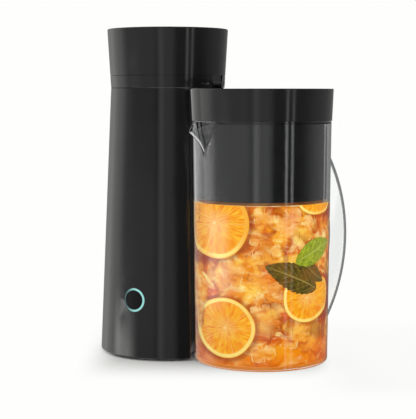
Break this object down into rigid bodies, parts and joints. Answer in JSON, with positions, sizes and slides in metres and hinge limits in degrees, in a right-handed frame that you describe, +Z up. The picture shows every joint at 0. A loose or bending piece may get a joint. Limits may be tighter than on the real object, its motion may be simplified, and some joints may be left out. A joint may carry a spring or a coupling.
{
  "type": "iced tea maker",
  "caption": "Tapered brewing tower with a hinged flared cap, docked beside a clear pitcher with a lid, a deep brew basket, a pouring beak and a bow handle.",
  "frame": {"origin": "centre of the box round the whole part, on the worktop that the feet and the pitcher stand on", "axes": "+Z up; the front, with the power button, faces -Y; the pitcher stands on the +X side of the tower"},
  "size_m": [0.2348, 0.156, 0.312],
  "materials": {
    "black_gloss": "moulded black ABS, polished",
    "black_matte": "moulded black ABS, fine texture",
    "smoke_plastic": "dark grey polypropylene basket",
    "clear_plastic": "clear SAN, polished",
    "tank_plastic": "natural polypropylene",
    "black_rubber": "black rubber",
    "silicone": "translucent silicone",
    "teal_lens": "translucent teal diffuser",
    "steel": "stainless steel",
    "cast_aluminium": "cast aluminium",
    "board_green": "circuit board laminate",
    "white_plastic": "white nylon"
  },
  "bodies": {
    "tower": {"tower_shell": "black_gloss", "dock_panel": "black_gloss", "base_plate": "black_matte", "rubber_feet": "black_rubber", "base_screws": "steel", "cord_gland": "black_rubber", "head_collar": "black_gloss", "hinge_pin": "steel", "reservoir_tank": "tank_plastic", "tank_seal": "silicone", "outlet_duct": "white_plastic", "riser_tube": "silicone", "inlet_hose": "silicone", "check_valve": "white_plastic", "hose_clips": "steel", "heater_block": "cast_aluminium", "heater_bracket": "steel", "heater_strap": "steel", "heater_screws": "steel", "thermostat": "steel", "thermal_fuse": "white_plastic", "control_board": "board_green", "board_carrier": "black_matte", "board_screws": "steel", "switch_body": "black_matte", "light_ring": "teal_lens"},
    "cap": {"tower_cap": "black_gloss", "cap_liner": "black_matte"},
    "button": {"button_cap": "black_gloss", "switch_plunger": "white_plastic"},
    "pitcher": {"pitcher_body": "clear_plastic", "pitcher_handle": "clear_plastic"},
    "lid": {"pitcher_lid": "black_gloss", "basket_ring": "black_matte", "lid_gasket": "silicone"},
    "basket": {"brew_basket": "smoke_plastic", "filter_screen": "steel"}
  },
  "joints": [
    {"name": "cap_hinge", "type": "hinge", "parent": "tower", "child": "cap", "pos_m": [0.00062, -0.00839, 0.26], "axis": [0, 1, 0], "range_deg": [0, 86]},
    {"name": "power_button", "type": "slide", "parent": "tower", "child": "button", "axis": [0, 1, 0], "range_m": [0, 0.0012], "stiffness_N_per_m": 400, "springref_m": -0.001},
    {"name": "pitcher_slide", "type": "slide", "parent": "tower", "child": "pitcher", "axis": [1, 0, 0], "range_m": [0, 0.15]},
    {"name": "lid_turn", "type": "hinge", "parent": "pitcher", "child": "lid", "pos_m": [0.05082, -0.00839, 0.2549], "axis": [0, 0, 1], "range_deg": [0, 90]},
    {"name": "basket_bayonet", "type": "hinge", "parent": "lid", "child": "basket", "pos_m": [0.05082, -0.00839, 0.2549], "axis": [0, 0, 1], "range_deg": [0, 25]}
  ]
}
